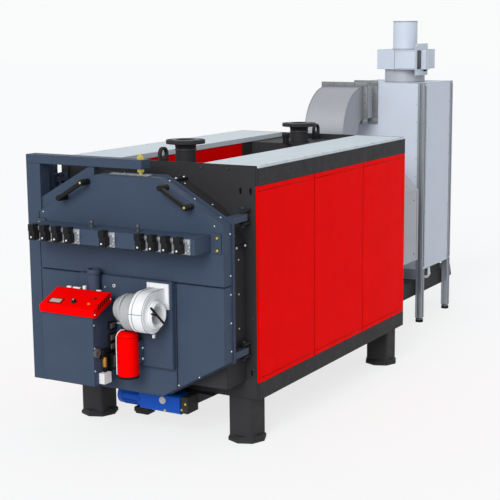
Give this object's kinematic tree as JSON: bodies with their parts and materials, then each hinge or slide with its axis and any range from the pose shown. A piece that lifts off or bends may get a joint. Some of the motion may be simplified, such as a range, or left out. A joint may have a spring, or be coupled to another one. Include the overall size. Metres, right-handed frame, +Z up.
{
  "type": "industrial boiler",
  "caption": "Pellet-fired hot water boiler on legs with a swinging octagonal burner door, davit, ash conveyor, flue duct and cyclone cabinet with extract fan.",
  "frame": {"origin": "centre of the bounding box on the floor", "axes": "+X to the right seen from the burner door, +Y from the burner door to the cyclone cabinet, +Z up"},
  "size_m": [1.317, 4.31, 2.265],
  "materials": {
    "body_black": "matt black paint",
    "panel_red": "smooth red powder coat",
    "cover_sheet": "pale grey coated sheet",
    "door_blue": "fine dark blue grey paint",
    "galvanised": "galvanised sheet",
    "zinc": "yellow zinc plate",
    "cast_aluminium": "fine cast",
    "black_plastic": "moulded",
    "motor_blue": "gloss blue enamel",
    "white_plastic": "moulded"
  },
  "bodies": {
    "boiler": {"ash_conveyor": "body_black", "ash_gearmotor": "motor_blue", "ash_hopper": "body_black", "ash_trough": "body_black", "boiler_body": "body_black", "cabinet_crossbar": "galvanised", "cabinet_posts": "galvanised", "channel_walls": "panel_red", "cyclone_cabinet": "galvanised", "extract_fan": "galvanised", "extract_motor": "galvanised", "fan_collar": "galvanised", "flow_nozzle": "body_black", "flue_elbow": "galvanised", "flue_hood": "galvanised", "front_plate": "body_black", "hinge_lugs": "door_blue", "inlet_duct": "galvanised", "legs": "body_black", "lifting_eyes": "body_black", "lock_pins": "door_blue", "rails_left": "body_black", "rails_right": "body_black", "rear_plate": "body_black", "return_nozzle": "body_black", "side_panels_left": "panel_red", "side_panels_right": "panel_red", "stack_pipe": "galvanised", "top_covers": "cover_sheet", "turning_box": "body_black"},
    "door": {"door_frame": "door_blue", "door_upper_cover": "door_blue", "door_lower_covers": "door_blue", "davit_post": "door_blue", "davit_arm": "door_blue", "suspension_bolt": "zinc", "lock_forks": "door_blue", "air_manifold": "door_blue", "solenoid_valves": "black_plastic", "door_handles": "black_plastic", "burner_plate": "door_blue", "burner_cabinet": "door_blue", "control_console": "panel_red", "pellet_inlet": "door_blue", "blower_housing": "cast_aluminium", "blower_motor": "cast_aluminium", "quench_vessel": "panel_red", "quench_valve": "black_plastic", "vessel_bracket": "galvanised", "side_sockets": "black_plastic", "junction_box": "white_plastic"}
  },
  "joints": [
    {"name": "door_swing", "type": "hinge", "parent": "boiler", "child": "door", "pos_m": [-0.6235, -1.71, 0.875], "axis": [0, 0, -1], "range_deg": [0, 105]}
  ]
}
